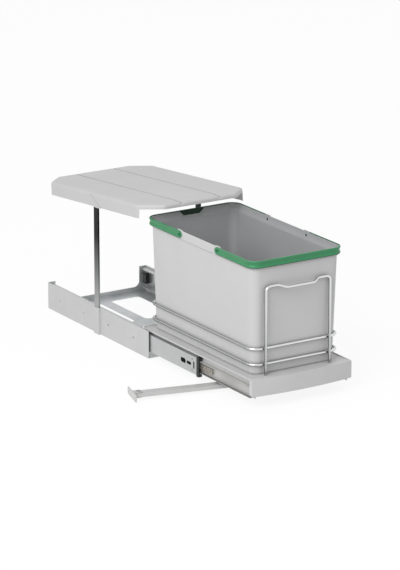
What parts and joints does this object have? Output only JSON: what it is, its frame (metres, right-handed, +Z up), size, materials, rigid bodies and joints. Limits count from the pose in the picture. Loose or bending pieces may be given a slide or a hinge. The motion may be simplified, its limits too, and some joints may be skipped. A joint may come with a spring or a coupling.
{
  "type": "pull out trash cabinet",
  "caption": "Pull out waste bin unit: steel frame, ball slides, tray with wire rails, lift-out bin with swing handles, and a lid on posts that tips as the tray moves.",
  "frame": {"origin": "middle of the front edge of the fixed frame's floor plate, on its underside", "axes": "+X to the right seen from the front, +Y from the front to the rear of the cabinet, +Z up; the tray pulls out towards -Y"},
  "size_m": [0.4337, 0.8441, 0.3333],
  "materials": {
    "frame_steel": "bright zinc plate",
    "post_steel": "plated flat bar",
    "slide_steel": "bright zinc plate",
    "fastener_steel": "plated",
    "latch_metal": "stamped, satin",
    "tray_paint": "light grey powder coat",
    "chrome_wire": "polished",
    "arm_steel": "plated",
    "bin_plastic": "fine satin",
    "handle_plastic": "semi-gloss green",
    "lid_plastic": "satin light grey",
    "black_plastic": "matt black"
  },
  "bodies": {
    "frame": {"floor_plate": "frame_steel", "rear_wall": "frame_steel", "left_side_panel": "frame_steel", "right_side_panel": "frame_steel", "left_post": "post_steel", "right_post": "post_steel", "left_slide_outer": "slide_steel", "right_slide_outer": "slide_steel", "left_rear_stop": "black_plastic", "right_rear_stop": "black_plastic"},
    "left_middle": {"left_slide_middle": "slide_steel", "left_front_bumper": "black_plastic"},
    "right_middle": {"right_slide_middle": "slide_steel", "right_front_bumper": "black_plastic"},
    "left_cage_out": {"left_outer_cage": "slide_steel"},
    "right_cage_out": {"right_outer_cage": "slide_steel"},
    "left_cage_in": {"left_inner_cage": "slide_steel"},
    "right_cage_in": {"right_inner_cage": "slide_steel"},
    "drawer": {"left_slide_inner": "slide_steel", "right_slide_inner": "slide_steel", "left_slide_latch": "latch_metal", "right_slide_latch": "latch_metal", "left_tray_screws": "fastener_steel", "right_tray_screws": "fastener_steel", "tray_pan": "tray_paint", "tray_fascia": "tray_paint", "lower_rail": "chrome_wire", "upper_rail": "chrome_wire", "front_loop": "chrome_wire", "left_rear_strut": "chrome_wire", "right_rear_strut": "chrome_wire", "arm_mount": "frame_steel", "arm_pin": "fastener_steel"},
    "bin": {"bin_shell": "bin_plastic", "left_front_pin": "bin_plastic", "right_front_pin": "bin_plastic", "left_rear_pin": "bin_plastic", "right_rear_pin": "bin_plastic"},
    "front_handle": {"front_handle": "handle_plastic"},
    "rear_handle": {"rear_handle": "handle_plastic"},
    "rocker": {"left_lid_pin": "fastener_steel", "right_lid_pin": "fastener_steel", "left_lid_rocker": "post_steel", "right_lid_rocker": "post_steel"},
    "lid": {"left_lid_lug": "lid_plastic", "right_lid_lug": "lid_plastic", "lid_shell": "lid_plastic"},
    "arm": {"door_arm": "arm_steel"},
    "door_plate": {"door_bracket": "arm_steel", "bracket_pin": "fastener_steel"}
  },
  "joints": [
    {"name": "drawer_slide", "type": "slide", "parent": "frame", "child": "drawer", "axis": [0, -1, 0], "range_m": [-0.392, 0]},
    {"name": "left_middle_slide", "type": "slide", "parent": "frame", "child": "left_middle", "axis": [0, -1, 0], "range_m": [-0.20384, 0]},
    {"name": "right_middle_slide", "type": "slide", "parent": "frame", "child": "right_middle", "axis": [0, -1, 0], "range_m": [-0.20384, 0]},
    {"name": "left_cage_out_slide", "type": "slide", "parent": "frame", "child": "left_cage_out", "axis": [0, -1, 0], "range_m": [-0.10192, 0]},
    {"name": "right_cage_out_slide", "type": "slide", "parent": "frame", "child": "right_cage_out", "axis": [0, -1, 0], "range_m": [-0.10192, 0]},
    {"name": "left_cage_in_slide", "type": "slide", "parent": "frame", "child": "left_cage_in", "axis": [0, -1, 0], "range_m": [-0.29792, 0]},
    {"name": "right_cage_in_slide", "type": "slide", "parent": "frame", "child": "right_cage_in", "axis": [0, -1, 0], "range_m": [-0.29792, 0]},
    {"name": "bin_lift", "type": "slide", "parent": "drawer", "child": "bin", "axis": [0, 0, 1], "range_m": [0, 0.018]},
    {"name": "front_handle_swing", "type": "hinge", "parent": "bin", "child": "front_handle", "pos_m": [0, -0.245, 0.2955], "axis": [-1, 0, 0], "range_deg": [0, 95]},
    {"name": "rear_handle_swing", "type": "hinge", "parent": "bin", "child": "rear_handle", "pos_m": [0, -0.099, 0.2955], "axis": [1, 0, 0], "range_deg": [0, 8]},
    {"name": "rocker_tip", "type": "hinge", "parent": "frame", "child": "rocker", "pos_m": [0, 0.209, 0.3], "axis": [1, 0, 0], "range_deg": [0, 5.1]},
    {"name": "lid_raise", "type": "hinge", "parent": "rocker", "child": "lid", "pos_m": [0, 0.209, 0.3], "axis": [-1, 0, 0], "range_deg": [0, 60]},
    {"name": "arm_swing", "type": "hinge", "parent": "drawer", "child": "arm", "pos_m": [-0.067, -0.261, 0.009], "axis": [0, 0, 1], "range_deg": [0, 149]},
    {"name": "door_plate_swing", "type": "hinge", "parent": "arm", "child": "door_plate", "pos_m": [-0.27915, -0.21085, 0.009], "axis": [0, 0, 1], "range_deg": [-43, 0]}
  ],
  "couplings": [
    {"joint": "left_middle_slide", "follows": "drawer_slide", "ratio": 0.52},
    {"joint": "right_middle_slide", "follows": "drawer_slide", "ratio": 0.52},
    {"joint": "left_cage_out_slide", "follows": "drawer_slide", "ratio": 0.26},
    {"joint": "right_cage_out_slide", "follows": "drawer_slide", "ratio": 0.26},
    {"joint": "left_cage_in_slide", "follows": "drawer_slide", "ratio": 0.76},
    {"joint": "right_cage_in_slide", "follows": "drawer_slide", "ratio": 0.76},
    {"joint": "rocker_tip", "follows": "drawer_slide", "rad_per_m": -0.22707},
    {"joint": "arm_swing", "follows": "drawer_slide", "rad_per_m": -6.634},
    {"joint": "door_plate_swing", "follows": "drawer_slide", "rad_per_m": 1.9145}
  ]
}
